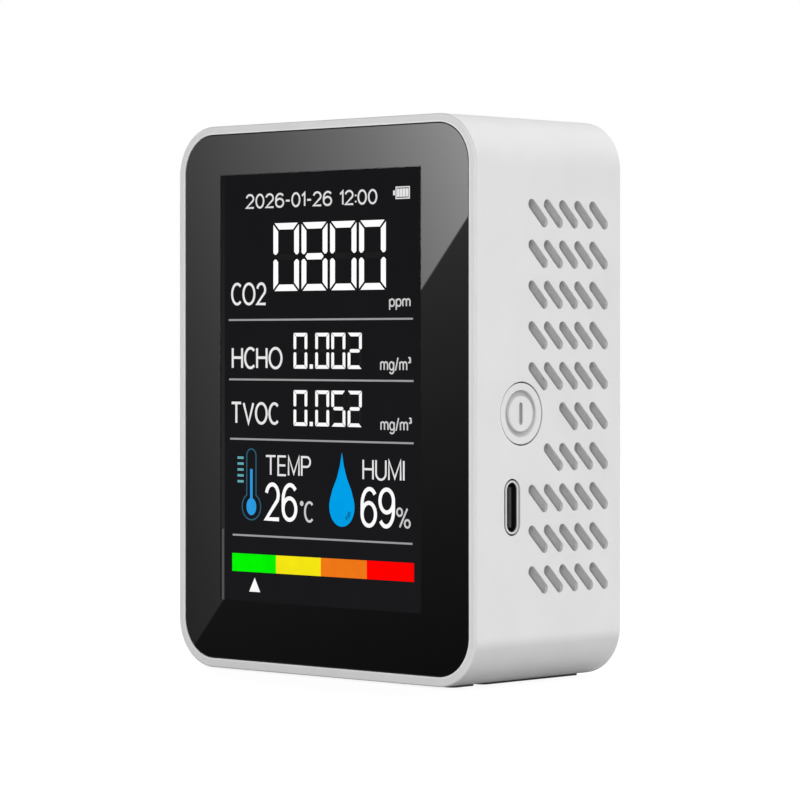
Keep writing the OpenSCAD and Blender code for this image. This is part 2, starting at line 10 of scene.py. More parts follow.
import bmesh
import bpy
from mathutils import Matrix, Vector


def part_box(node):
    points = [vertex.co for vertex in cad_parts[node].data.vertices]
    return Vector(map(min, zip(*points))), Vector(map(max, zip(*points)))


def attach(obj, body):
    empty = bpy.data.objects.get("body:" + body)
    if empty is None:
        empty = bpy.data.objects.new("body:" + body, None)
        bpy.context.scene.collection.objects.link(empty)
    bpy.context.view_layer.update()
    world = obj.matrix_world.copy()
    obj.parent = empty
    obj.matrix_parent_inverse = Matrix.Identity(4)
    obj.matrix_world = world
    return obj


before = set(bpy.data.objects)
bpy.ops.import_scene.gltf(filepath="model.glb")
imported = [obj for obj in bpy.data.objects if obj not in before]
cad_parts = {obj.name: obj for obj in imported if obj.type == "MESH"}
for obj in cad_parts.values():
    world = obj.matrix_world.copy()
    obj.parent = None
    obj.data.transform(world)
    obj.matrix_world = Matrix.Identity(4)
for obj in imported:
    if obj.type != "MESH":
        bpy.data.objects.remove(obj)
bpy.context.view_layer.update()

MM = 0.001
BODY = "body"

# ---------------------------------------------------------------- places taken from the frame

shell_low, shell_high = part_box("housing")
button_low, button_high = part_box("button_cap")
port_low, port_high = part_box("usb_shell")
insert_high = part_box("usb_insulator")[1]
lens_low, lens_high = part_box("front_lens")
panel_low, panel_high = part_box("lcd_panel")
filter_low, filter_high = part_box("right_dust_filter")

# The display panel's dark borders are wider at the bottom, where its pins are
PANEL_BORDER_SIDE = 1.6 * MM
PANEL_BORDER_TOP = 1.4 * MM
PANEL_BORDER_BOTTOM = 3.0 * MM
view_width = panel_high.x - panel_low.x - 2 * PANEL_BORDER_SIDE
view_height = panel_high.z - panel_low.z - PANEL_BORDER_TOP - PANEL_BORDER_BOTTOM
view_centre = Vector((
    (panel_low.x + panel_high.x) / 2,
    panel_low.y,
    panel_low.z + PANEL_BORDER_BOTTOM + view_height / 2,
))

# ---------------------------------------------------------------- camera

CAMERA_TURN = math.radians(43.246)
CAMERA_DISTANCE = 0.6198
CAMERA_AIM = Vector((1.1 * MM, 0.0, 56.75 * MM))
CAMERA_LENS = 160.1
CAMERA_SHIFT = (-0.0011, -0.0668)
away_from_aim = Vector((math.sin(CAMERA_TURN), -math.cos(CAMERA_TURN), 0))
camera_place = CAMERA_AIM + CAMERA_DISTANCE * away_from_aim


def add_camera():
    """Camera at the right front that looks level; its shift keeps the object in the picture."""
    data = bpy.data.cameras.new("camera")
    data.sensor_width = 36
    data.lens = CAMERA_LENS
    data.shift_x, data.shift_y = CAMERA_SHIFT
    data.clip_start = 0.01
    camera = bpy.data.objects.new("camera", data)
    camera.location = camera_place
    camera.rotation_euler = (math.radians(90), 0, CAMERA_TURN)
    bpy.context.scene.collection.objects.link(camera)
    bpy.context.scene.camera = camera


# ---------------------------------------------------------------- colours and node helpers


def linear(value):
    """Light energy of a screen tone from 0 to 255."""
    tone = value / 255
    return tone / 12.92 if tone <= 0.04045 else ((tone + 0.055) / 1.055) ** 2.4


def colour(red, green, blue):
    """Node colour of a screen colour with parts from 0 to 255."""
    return (linear(red), linear(green), linear(blue), 1.0)


def grey(value):
    return colour(value, value, value)


class Look:
    """One node material under construction, with short calls for the nodes that looks share."""

    def __init__(self, name):
        self.material = bpy.data.materials.new(name)
        self.material.use_nodes = True
        self.nodes = self.material.node_tree.nodes
        self.links = self.material.node_tree.links
        self.nodes.clear()
        self.place = self.add("ShaderNodeTexCoord").outputs["Object"]

    def join(self, value, socket):
        if isinstance(value, bpy.types.NodeSocket):
            self.links.new(value, socket)
        else:
            socket.default_value = value

    def add(self, kind, inputs=None, **settings):
        node = self.nodes.new(kind)
        for setting, value in settings.items():
            setattr(node, setting, value)
        for socket, value in (inputs or {}).items():
            self.join(value, node.inputs[socket])
        return node

    def calc(self, operation, first, second=0.0):
        return self.add("ShaderNodeMath", {0: first, 1: second}, operation=operation).outputs[0]

    def split(self, vector):
        node = self.add("ShaderNodeSeparateXYZ", {0: vector})
        return node.outputs[0], node.outputs[1], node.outputs[2]

    def stretched(self, along_x, along_y, along_z):
        """The place, drawn out along the axes, so that patterns become streaks."""
        node = self.add("ShaderNodeMapping", {"Vector": self.place})
        node.inputs["Scale"].default_value = (along_x, along_y, along_z)
        return node.outputs[0]

    def noise(self, size, detail=2.0, place=None):
        """Soft lumps of about this size in metres, from 0 to 1."""
        inputs = {"Vector": place or self.place, "Scale": 1 / size, "Detail": detail}
        return self.span(self.add("ShaderNodeTexNoise", inputs).outputs["Fac"], 0.25, 0.75, 0.0, 1.0)

    def cells(self, size, feature="F1", metric="EUCLIDEAN"):
        """Distance pattern of random cells of about this size in metres."""
        inputs = {"Vector": self.place, "Scale": 1 / size}
        node = self.add("ShaderNodeTexVoronoi", inputs, feature=feature)
        if feature == "F1":
            node.distance = metric
        return node.outputs["Distance"]

    def waves(self, size, direction):
        """Straight even waves, one each size metres, across direction X, Y or Z. Blender's sine
        wave repeats every pi / 10 at a scale of 1."""
        inputs = {"Vector": self.place, "Scale": math.pi / 10 / size}
        node = self.add("ShaderNodeTexWave", inputs, bands_direction=direction, wave_profile="SIN")
        return node.outputs["Fac"]

    def span(self, value, from_low, from_high, low, high):
        """A value moved from one range to another and kept inside it."""
        inputs = {0: value, 1: from_low, 2: from_high, 3: low, 4: high}
        return self.add("ShaderNodeMapRange", inputs).outputs[0]

    def mix(self, factor, first, second):
        """Colour between two colours."""
        return self.add("ShaderNodeMix", {0: factor, 6: first, 7: second}, data_type="RGBA").outputs[2]

    def bump(self, height, depth, under=None):
        """Surface normal of a relief that is this deep in metres."""
        node = self.add("ShaderNodeBump", {"Height": height, "Distance": depth, "Strength": 1.0})
        if under is not None:
            self.join(under, node.inputs["Normal"])
        return node.outputs[0]

    def solid(self, base, roughness, **inputs):
        """The usual surface. Input names are written with _ for a space."""
        named = {name.replace("_", " "): value for name, value in inputs.items()}
        named.update({"Base Color": base, "Roughness": roughness})
        return self.add("ShaderNodeBsdfPrincipled", named).outputs[0]

    def done(self, surface):
        self.add("ShaderNodeOutputMaterial", {"Surface": surface})
        return self.material


# ---------------------------------------------------------------- materials of the casing

# Tones of the white plastic, and of its walls and edges that get more or less light; that shade and
# highlight are painted into the colour
SHELL_TONE = 233
SLOT_WALL_SHADE_TONE = 198
BUTTON_GAP_SHADE_TONE = 150
PORT_SHADE_TONE = 22
GROOVE_TONE = 208
GROOVE_SHADE_TONE = 146
FRONT_EDGE_SHADE_TONE = 212
LIP_HIGHLIGHT_TONE = 246
LOW_EDGE_SHADE_TONE = 214

# How far a change of tone is drawn out, and how far it reaches beyond an opening's moving part
EDGE_FADE = 0.2 * MM
BUTTON_MARGIN = 0.4 * MM
PORT_MARGIN = 1.0 * MM

# Depths below the surface at which the painted shade on a wall starts and has its full tone
SLOT_WALL_DEPTHS = (0.02 * MM, 0.12 * MM)
OPENING_DEPTHS = (0.05 * MM, 0.5 * MM)
GROOVE_DEPTHS = (0.03 * MM, 0.4 * MM)
PORT_DEPTHS = (0.03 * MM, 0.3 * MM)
TONGUE_DEPTHS = (0.02 * MM, 0.2 * MM)

# Corner radius of the front glass, and how wide the lip of the rim around it is, which gets a
# painted highlight
LENS_CORNER = 6.9 * MM
LIP_WIDTH = 0.28 * MM

# Band of painted shade on the lower round edges of the sides: height of its middle and half its height
LOW_SHADE_MIDDLE = 4.5 * MM
LOW_SHADE_REACH = 2.3 * MM
LOW_SHADE_FADE = 1.6 * MM


def shell_plastic(look, base):
    """Fine spark-eroded texture of the moulded white shell."""
    grain = look.noise(0.16 * MM, 3.0)
    swell = look.noise(9 * MM, 1.0)
    tinted = look.mix(look.span(swell, 0, 1, 0.0, 1.0), base, look.mix(0.96, grey(0), base))
    roughness = look.span(look.noise(0.4 * MM), 0, 1, 0.44, 0.54)
    relief = look.bump(grain, 0.006 * MM)
    return look.solid(tinted, roughness, Normal=relief, Specular_IOR_Level=0.3)


def inside(look, first, limits):
    """A mask that is 1 where every value lies between its two limits and fades to 0 outside."""
    mask = first
    for value, low, high in limits:
        for limit, inwards in ((low, EDGE_FADE), (high, -EDGE_FADE)):
            mask = look.calc("MULTIPLY", mask, look.span(value, limit, limit + inwards, 0.0, 1.0))
    return mask


def sunk(look, value, surface, depths):
    """A mask that is 0 at a surface and grows to 1 between two depths below it."""
    start, full = depths
    return look.span(value, surface - full, surface - start, 1.0, 0.0)


def beside_glass(look, x, z):
    """Distance from the front glass's outline, seen from the front."""
    squares = []
    for value, low, high in ((x, lens_low.x, lens_high.x), (z, lens_low.z, lens_high.z)):
        away = look.calc("ABSOLUTE", look.calc("SUBTRACT", value, (low + high) / 2))
        past_straight = look.calc("SUBTRACT", away, (high - low) / 2 - LENS_CORNER)
        squares.append(look.calc("POWER", look.calc("MAXIMUM", past_straight, 0.0), 2.0))
    return look.calc("SUBTRACT", look.calc("SQRT", look.calc("ADD", *squares)), LENS_CORNER)


def slot_walls(look, x, y, z):
    """Mask of the painted shade on the short walls in the vent slots, between the skin and the filter
    behind it.
    """
    side = look.calc("ABSOLUTE", x)
    below_skin = sunk(look, side, shell_high.x, SLOT_WALL_DEPTHS)
    outside_filter = look.span(side, filter_high.x - 0.25 * EDGE_FADE, filter_high.x, 0.0, 1.0)
    vents = ((y, filter_low.y, filter_high.y), (z, filter_low.z, filter_high.z))
    return inside(look, look.calc("MULTIPLY", below_skin, outside_filter), vents)


def opening_walls(look, x, y, z, low, high, margin):
    """Mask of the painted shade on the walls of the opening in the right side for the piece in this box.
    """
    opening = (
        (x, low.x, shell_high.x + MM),
        (y, low.y - margin, high.y + margin),
        (z, low.z - margin, high.z + margin),
    )
    return inside(look, sunk(look, x, shell_high.x, OPENING_DEPTHS), opening)


def low_edge_shade(look, y, z):
    """Mask of the band of painted shade along the lower edges, without the front rim and the back."""
    from_middle = look.calc("ABSOLUTE", look.calc("SUBTRACT", z, LOW_SHADE_MIDDLE))
    band = look.span(from_middle, LOW_SHADE_REACH, LOW_SHADE_REACH + LOW_SHADE_FADE, 1.0, 0.0)
    return inside(look, band, ((y, shell_low.y + EDGE_FADE, shell_high.y - EDGE_FADE),))


def front_edge_shade(look, y):
    """Mask of the painted shade on the rounded edge between the front rim and the sides."""
    past_front = look.span(y, shell_low.y, shell_low.y + 0.4 * EDGE_FADE, 0.0, 1.0)
    before_side = look.span(y, shell_low.y + EDGE_FADE, shell_low.y + 2 * EDGE_FADE, 1.0, 0.0)
    return look.calc("MULTIPLY", past_front, before_side)


def lip_highlight(look, x, y, z):
    """Mask of the painted highlight on the front rim's lip beside the glass."""
    near_glass = look.span(beside_glass(look, x, z), LIP_WIDTH, 1.4 * LIP_WIDTH, 1.0, 0.0)
    on_front = look.span(y, shell_low.y, shell_low.y + EDGE_FADE, 1.0, 0.0)
    return look.calc("MULTIPLY", near_glass, on_front)


def white_shell():
    """White shell with painted shade: greyer on the walls of the slots, on the lower edges and on the
    rounded front edges, dark on the walls of the openings, where less light gets in, and with a
    painted highlight that makes it brighter on the lip beside the glass."""
    look = Look("white_shell")
    x, y, z = look.split(look.place)
    button_hole = opening_walls(look, x, y, z, button_low, button_high, BUTTON_MARGIN)
    port_hole = opening_walls(look, x, y, z, port_low, port_high, PORT_MARGIN)
    base = grey(SHELL_TONE)
    # Painted shade on the walls and edges, and a painted highlight on the lip beside the glass
    for mask, tone in (
        (slot_walls(look, x, y, z), SLOT_WALL_SHADE_TONE),
        (button_hole, BUTTON_GAP_SHADE_TONE),
        (port_hole, PORT_SHADE_TONE),
        (low_edge_shade(look, y, z), LOW_EDGE_SHADE_TONE),
        (front_edge_shade(look, y), FRONT_EDGE_SHADE_TONE),
        (lip_highlight(look, x, y, z), LIP_HIGHLIGHT_TONE),
    ):
        base = look.mix(mask, base, grey(tone))
    return look.done(shell_plastic(look, base))


def white_button():
    """Button cap in the shell's plastic, with painted shade that makes it darker in its narrow
    grooves, most of all on their walls that face down and forwards."""
    look = Look("white_button")
    x, _, _ = look.split(look.place)
    # Painted shade: groove walls that face down and forwards, away from the light, get the darker tone
    _, backwards, upwards = look.split(look.add("ShaderNodeNewGeometry").outputs["Normal"])
    sheltered = look.span(look.calc("ADD", backwards, upwards), -1.0, 1.0, 1.0, 0.0)
    shade = look.mix(sheltered, grey(GROOVE_TONE), grey(GROOVE_SHADE_TONE))
    groove = sunk(look, x, button_high.x, GROOVE_DEPTHS)
    return look.done(shell_plastic(look, look.mix(groove, grey(SHELL_TONE), shade)))


GLASS_IOR = 1.5
PRINT_FADE = 0.12 * MM


def front_glass():
    """Glass with a black print on its back that leaves a clear window. The window is coated
    against glare, so only the print shows reflections. The print is drawn where the eye meets it
    after the glass has bent its line of sight."""
    look = Look("black_front_glass")
    geometry = look.add("ShaderNodeNewGeometry")
    to_glass = {0: geometry.outputs["Incoming"], 3: -1.0}
    sight = look.add("ShaderNodeVectorMath", to_glass, operation="SCALE").outputs[0]
    bend = {0: sight, 1: geometry.outputs["Normal"], 3: 1 / GLASS_IOR}
    bent = look.add("ShaderNodeVectorMath", bend, operation="REFRACT").outputs[0]
    bent_x, bent_y, bent_z = look.split(bent)
    x, y, z = look.split(geometry.outputs["Position"])
    reach = look.calc("DIVIDE", look.calc("SUBTRACT", lens_high.y, y), bent_y)
    seen_x = look.calc("ADD", x, look.calc("MULTIPLY", bent_x, reach))
    seen_z = look.calc("ADD", z, look.calc("MULTIPLY", bent_z, reach))
    window = 1.0
    sides = ((seen_x, view_centre.x, view_width), (seen_z, view_centre.z, view_height))
    for seen, middle, size in sides:
        away = look.calc("ABSOLUTE", look.calc("SUBTRACT", seen, middle))
        cleared = look.span(away, size / 2 - PRINT_FADE, size / 2 + PRINT_FADE, 1.0, 0.0)
        window = look.calc("MULTIPLY", window, cleared)
    window = look.calc("MAXIMUM", window, geometry.outputs["Backfacing"])
    wipe = look.noise(14 * MM, 4.0, look.stretched(1.0, 1.0, 0.35))
    ink = look.mix(look.noise(6 * MM), colour(1, 1, 2), colour(3, 3, 4))
    print_side = look.solid(ink, look.span(wipe, 0, 1, 0.003, 0.006), IOR=GLASS_IOR)
    clear = look.add("ShaderNodeBsdfRefraction", {"IOR": GLASS_IOR, "Roughness": 0.0}).outputs[0]
    return look.done(look.add("ShaderNodeMixShader", {0: window, 1: print_side, 2: clear}).outputs[0])


def panel_glass():
    """Dark display with a trace of its backlight, a little stronger towards the bottom edge."""
    look = Look("display_glass")
    _, _, z = look.split(look.place)
    leak = look.span(z, panel_low.z, panel_high.z, 1.12, 0.96)
    cloud = look.span(look.noise(7 * MM), 0, 1, 0.95, 1.05)
    glow = look.add("ShaderNodeEmission", {"Color": colour(24, 24, 26)})
    look.join(look.calc("MULTIPLY", leak, cloud), glow.inputs["Strength"])
    return look.done(glow.outputs[0])


# ---------------------------------------------------------------- materials of the inner parts


def moulded(name, base, roughness, grain=0.25 * MM, **inputs):
    """Plain injection-moulded plastic."""
    look = Look(name)
    speckle = look.noise(grain, 3.0)
    tinted = look.mix(look.noise(5 * MM), base, look.mix(0.88, grey(0), base))
    worn = look.span(speckle, 0, 1, roughness - 0.06, roughness + 0.06)
    return look.done(look.solid(tinted, worn, Normal=look.bump(speckle, 0.008 * MM), **inputs))


def metal(name, base, roughness, streak=(1.0, 1.0, 12.0)):
    """Bare or plated metal with fine rolling or drawing marks."""
    look = Look(name)
    marks = look.noise(0.5 * MM, 4.0, look.stretched(*streak))
    tarnish = look.noise(3 * MM)
    tinted = look.mix(tarnish, base, look.mix(0.8, grey(40), base))
    worn = look.span(marks, 0, 1, roughness - 0.07, roughness + 0.1)
    relief = look.bump(marks, 0.004 * MM)
    return look.done(look.solid(tinted, worn, Normal=relief, Metallic=1.0))


def circuit_board():
    """Green lacquer over right-angled copper tracks, with tinned spots."""
    look = Look("green_board")
    lanes = look.cells(2.6 * MM, metric="CHEBYCHEV")
    track = look.span(look.calc("SINE", look.calc("MULTIPLY", lanes, 26.0)), 0.55, 0.75, 0.0, 1.0)
    spots = look.span(look.cells(1.9 * MM), 0.12, 0.16, 1.0, 0.0)
    green = look.mix(track, colour(16, 74, 44), colour(30, 104, 62))
    base = look.mix(spots, green, colour(196, 190, 172))
    relief = look.bump(look.calc("ADD", track, spots), 0.03 * MM)
    return look.done(look.solid(base, look.span(track, 0, 1, 0.42, 0.3), Normal=relief))


def epoxy_chip():
    """Black moulding compound with its glassy filler grains."""
    look = Look("black_chip")
    grains = look.span(look.cells(0.12 * MM), 0.1, 0.3, 1.0, 0.0)
    base = look.mix(look.calc("MULTIPLY", grains, 0.25), colour(26, 26, 28), colour(84, 84, 86))
    return look.done(look.solid(base, 0.55, Normal=look.bump(grains, 0.01 * MM)))


def port_shell():
    """Satin nickel of the port's shell: bright at its mouth, and with painted shade that makes it dark
    with depth inside.
    """
    look = Look("port_nickel")
    marks = look.noise(0.3 * MM, 4.0, look.stretched(8.0, 1.0, 1.0))
    x, _, _ = look.split(look.place)
    nickel = look.mix(marks, grey(220), grey(236))
    base = look.mix(sunk(look, x, port_high.x, PORT_DEPTHS), nickel, grey(PORT_SHADE_TONE))
    relief = look.bump(marks, 0.003 * MM)
    return look.done(look.solid(base, look.span(marks, 0, 1, 0.35, 0.5), Normal=relief, Metallic=0.3))


def port_insert():
    """Black insert of the port, with painted light: only the end of its tongue is near enough the
    mouth to catch light, so only that tip is painted in a lighter tone.
    """
    look = Look("black_insert")
    flow = look.noise(1.2 * MM, 3.0, look.stretched(0.3, 1.0, 1.0))
    x, _, _ = look.split(look.place)
    tip = look.mix(flow, grey(62), grey(72))
    dark = look.mix(flow, grey(3), grey(8))
    base = look.mix(sunk(look, x, insert_high.x, TONGUE_DEPTHS), tip, dark)
    return look.done(look.solid(base, look.span(flow, 0, 1, 0.5, 0.62), Specular_IOR_Level=0.1))


def pouch_foil():
    """Crinkled aluminium laminate of a battery pouch."""
    look = Look("battery_foil")
    folds = look.calc("ADD", look.noise(4 * MM, 4.0), look.cells(6 * MM, "DISTANCE_TO_EDGE"))
    base = look.mix(look.noise(8 * MM), colour(178, 180, 184), colour(150, 152, 158))
    relief = look.bump(folds, 0.25 * MM)
    return look.done(look.solid(base, look.span(folds, 0, 2, 0.28, 0.45), Normal=relief, Metallic=0.9))


def foam():
    """White open-cell foam."""
    look = Look("white_foam")
    pores = look.cells(0.35 * MM)
    base = look.mix(pores, colour(170, 170, 168), colour(236, 236, 232))
    return look.done(look.solid(base, 0.95, Normal=look.bump(pores, 0.15 * MM)))


FILTER_TONE = 172


def dust_filter():
    """Grey woven screen behind the slots."""
    look = Look("grey_filter")
    weave = look.calc("MULTIPLY", look.waves(0.3 * MM, "Y"), look.waves(0.3 * MM, "Z"))
    lint = look.noise(1.2 * MM, 3.0)
    base = look.mix(weave, grey(FILTER_TONE - 12), grey(FILTER_TONE + 4))
    base = look.mix(look.calc("MULTIPLY", lint, 0.15), base, grey(FILTER_TONE + 25))
    return look.done(look.solid(base, 0.9, Normal=look.bump(weave, 0.03 * MM), Specular_IOR_Level=0.1))


def wire_mesh():
    """Fine steel mesh in the window of the gas sensor."""
    look = Look("sensor_mesh")
    wires = look.calc("MAXIMUM", look.waves(0.35 * MM, "X"), look.waves(0.35 * MM, "Z"))
    base = look.mix(look.span(wires, 0.4, 0.7, 0.0, 1.0), colour(24, 22, 22), colour(150, 146, 140))
    return look.done(look.solid(base, 0.45, Normal=look.bump(wires, 0.08 * MM), Metallic=0.7))


def membrane():
    """Matt white fluoropolymer felt."""
    look = Look("white_membrane")
    fibres = look.noise(0.3 * MM, 6.0, look.stretched(1.0, 1.0, 5.0))
    base = look.mix(fibres, colour(214, 214, 212), colour(246, 246, 244))
    return look.done(look.solid(base, 0.9, Normal=look.bump(fibres, 0.04 * MM)))


def rubber():
    """Dark rubber with a dusty bloom."""
    look = Look("dark_rubber")
    bloom = look.noise(1.5 * MM, 4.0)
    base = look.mix(bloom, colour(44, 44, 46), colour(62, 62, 64))
    return look.done(look.solid(base, 0.8, Normal=look.bump(look.noise(0.2 * MM, 3.0), 0.02 * MM)))


def label_film():
    """Brushed silver polyester of the blank rear label."""
    look = Look("silver_label")
    brush = look.noise(0.35 * MM, 5.0, look.stretched(0.03, 1.0, 1.0))
    base = look.mix(brush, colour(176, 178, 181), colour(205, 206, 208))
    worn = look.span(brush, 0, 1, 0.32, 0.5)
    return look.done(look.solid(base, worn, Normal=look.bump(brush, 0.004 * MM), Metallic=0.75))


def amber_film():
    """Amber tape wound round the protection board."""
    look = Look("amber_film")
    wrinkles = look.noise(2.5 * MM, 3.0, look.stretched(0.3, 1.0, 1.0))
    base = look.mix(wrinkles, colour(176, 104, 22), colour(214, 140, 44))
    return look.done(look.solid(base, 0.22, Normal=look.bump(wrinkles, 0.12 * MM)))


def make_looks():
    """Material of each slot in the record."""
    return {
        "white_shell": white_shell(),
        "black_front_glass": front_glass(),
        "black_tape": moulded("black_tape", colour(16, 16, 17), 0.85),
        "display_glass": panel_glass(),
        "light_guide": moulded("light_guide", colour(226, 230, 232), 0.25),
        "white_frame": moulded("white_frame", colour(228, 228, 224), 0.5),
        "plated_steel": metal("plated_steel", colour(205, 206, 208), 0.3),
        "green_board": circuit_board(),
        "black_chip": epoxy_chip(),
        "ferrite": moulded("ferrite", colour(62, 60, 60), 0.7, 0.15 * MM),
        "bare_aluminium": metal("bare_aluminium", colour(212, 213, 214), 0.36, (1.0, 1.0, 1.0)),
        "gold_plating": metal("gold_plating", colour(220, 178, 92), 0.28),
        "ivory_plastic": moulded("ivory_plastic", colour(226, 218, 196), 0.45),
        "gold_chamber": metal("gold_chamber", colour(206, 170, 92), 0.24, (1.0, 1.0, 3.0)),
        "white_membrane": membrane(),
        "sensor_mesh": wire_mesh(),
        "battery_foil": pouch_foil(),
        "amber_film": amber_film(),
        "white_foam": foam(),
        "red_insulation": moulded("red_insulation", colour(176, 28, 24), 0.4),
        "black_insulation": moulded("black_insulation", colour(24, 24, 25), 0.4),
        "grey_filter": dust_filter(),
        "dark_rubber": rubber(),
        "silver_label": label_film(),
        "screw_steel": metal("screw_steel", colour(150, 151, 154), 0.34, (1.0, 1.0, 1.0)),
    }


def dress_cad_nodes():
    """Gives every CAD node the look of its material slot, or its own variant of it."""
    looks = make_looks()
    own_looks = {
        "button_cap": white_button(),
        "usb_shell": port_shell(),
        "usb_insulator": port_insert(),
    }
    for name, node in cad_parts.items():
        for slot in node.material_slots:
            slot.material = own_looks.get(name) or looks[slot.material.name.split(".")[0]]


# ---------------------------------------------------------------- flat shapes on the display
# Places on the display are in millimetres from the middle of its lit area: right and up.

PLATE_FRONT = view_centre.y - 0.04 * MM
PLATE_BACK = view_centre.y + 0.02 * MM
ARC_STEP = 12


def bow(x, z, radius_x, radius_z, start, end):
    """Points along an ellipse, from one angle to another in degrees."""
    count = max(3, round(abs(end - start) / ARC_STEP))
    angles = [math.radians(start + (end - start) * i / count) for i in range(count + 1)]
    return [(x + radius_x * math.cos(a), z + radius_z * math.sin(a)) for a in angles]


def line(*points):
    """An open pen line."""
    return list(points), False


def loop(x, z, radius_x, radius_z):
    """A closed pen line round an ellipse."""
    return bow(x, z, radius_x, radius_z, 0, 360)[:-1], True


def mitres(points, closed):
    """Sideways step from each point of a pen line to the edge of a line one unit wide."""
    steps = []
    count = len(points)
    for i, here in enumerate(points):
        behind = points[i - 1] if closed or i > 0 else None
        ahead = points[(i + 1) % count] if closed or i < count - 1 else None
        arriving = (here - (behind or here)).normalized()
        leaving = ((ahead or here) - here).normalized()
        arriving = arriving if arriving.length else leaving
        leaving = leaving if leaving.length else arriving
        along = (arriving + leaving).normalized()
        across = Vector((-along.y, along.x))
        stretch = 1 / max(across.dot(Vector((-leaving.y, leaving.x))), 0.5)
        steps.append(across * stretch / 2)
    return steps


def on_display(mesh, point, y):
    return mesh.verts.new((view_centre.x + point[0] * MM, y, view_centre.z + point[1] * MM))


def add_plate(mesh, outline):
    """Adds a closed flat plate with this outline."""
    fronts = [on_display(mesh, p, PLATE_FRONT) for p in outline]
    backs = [on_display(mesh, p, PLATE_BACK) for p in outline]
    mesh.faces.new(fronts)
    mesh.faces.new(list(reversed(backs)))
    for i in range(len(outline)):
        mesh.faces.new((fronts[i - 1], backs[i - 1], backs[i], fronts[i]))


def add_stroke(mesh, points, closed, width):
    """Adds a closed flat ribbon of this width along a pen line."""
    points = [Vector(p) for p in points]
    steps = [step * width for step in mitres(points, closed)]
    rows = []
    for point, step in zip(points, steps):
        corners = (point + step, point - step)
        rows.append(
            [on_display(mesh, c, PLATE_FRONT) for c in corners]
            + [on_display(mesh, c, PLATE_BACK) for c in reversed(corners)]
        )
    pairs = list(zip(rows, rows[1:]))
    if closed:
        pairs.append((rows[-1], rows[0]))
    else:
        mesh.faces.new(rows[0])
        mesh.faces.new(list(reversed(rows[-1])))
    for here, there in pairs:
        for i in range(4):
            mesh.faces.new((here[i - 1], here[i], there[i], there[i - 1]))


def display_piece(name, look, plates=(), strokes=()):
    """One named piece of the picture. A stroke is (points, closed, width)."""
    mesh = bmesh.new()
    for outline in plates:
        add_plate(mesh, outline)
    for points, closed, width in strokes:
        add_stroke(mesh, points, closed, width)
    bmesh.ops.recalc_face_normals(mesh, faces=mesh.faces)
    data = bpy.data.meshes.new(name)
    mesh.to_mesh(data)
    mesh.free()
    data.materials.append(look)
    piece = bpy.data.objects.new(name, data)
    bpy.context.scene.collection.objects.link(piece)
    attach(piece, BODY)


def lit(name, base, strength=1.0):
    """Light of a display element, uneven in the way a diffused backlight is."""
    look = Look(name)
    cloud = look.span(look.noise(2.5 * MM), 0, 1, 0.93, 1.03)
    glow = look.add("ShaderNodeEmission", {"Color": base})
    look.join(look.calc("MULTIPLY", cloud, strength), glow.inputs["Strength"])
    return look.done(glow.outputs[0])


# ---------------------------------------------------------------- letters and figures

# Pen lines of each sign, with the height of a capital as 1
GLYPHS = {
    "C": [line(*bow(0.37, 0.5, 0.37, 0.5, 48, 312))],
    "E": [line((0.56, 1), (0, 1), (0, 0), (0.56, 0)), line((0, 0.52), (0.52, 0.52))],
    "H": [line((0, 0), (0, 1)), line((0.64, 0), (0.64, 1)), line((0, 0.52), (0.64, 0.52))],
    "I": [line((0, 0), (0, 1))],
    "M": [line((0, 0), (0, 1), (0.38, 0.1), (0.76, 1), (0.76, 0))],
    "O": [loop(0.4, 0.5, 0.4, 0.5)],
    "P": [line((0, 0), (0, 1), *bow(0.36, 0.74, 0.25, 0.26, 90, -90), (0, 0.48))],
    "T": [line((0, 1), (0.7, 1)), line((0.35, 0), (0.35, 1))],
    "U": [line((0, 1), *bow(0.32, 0.33, 0.32, 0.33, 180, 360), (0.64, 1))],
    "V": [line((0, 1), (0.36, 0), (0.72, 1))],
    "g": [loop(0.24, 0.33, 0.24, 0.32), line((0.48, 0.65), *bow(0.24, -0.05, 0.24, 0.24, 0, -150))],
    "m": [
        line((0, 0), (0, 0.65)),
        line(*bow(0.19, 0.44, 0.19, 0.21, 180, 0), (0.38, 0)),
        line(*bow(0.57, 0.44, 0.19, 0.21, 180, 0), (0.76, 0)),
    ],
    "p": [line((0, -0.32), (0, 0.65)), loop(0.25, 0.33, 0.25, 0.32)],
    "0": [loop(0.3, 0.5, 0.3, 0.5)],
    "1": [line((0, 0.78), (0.2, 1), (0.2, 0))],
    "2": [line(*bow(0.29, 0.7, 0.28, 0.3, 170, -32), (0, 0), (0.6, 0))],
    "6": [loop(0.3, 0.31, 0.3, 0.31), line(*bow(0.33, 0.57, 0.33, 0.43, 42, 180), (0, 0.31))],
    "9": [loop(0.3, 0.69, 0.3, 0.31), line(*bow(0.27, 0.43, 0.33, 0.43, 222, 360), (0.6, 0.69))],
    "cubed": [line(*bow(0.1, 0.9, 0.1, 0.1, 150, -90), *bow(0.1, 0.7, 0.12, 0.1, 90, -150))],
    "degree": [loop(0.07, 0.93, 0.07, 0.07)],
    "/": [line((0, -0.05), (0.28, 1))],
    "%": [loop(0.17, 0.8, 0.17, 0.2), loop(0.68, 0.2, 0.17, 0.2), line((0.18, 0), (0.68, 1))],
    "-": [line((0, 0.45), (0.3, 0.45))],
    ":": [line((0, 0.12), (0, 0.24)), line((0, 0.58), (0, 0.7))],
    " ": [],
}
LETTER_GAP = 0.2
WORD_GAP = 0.3


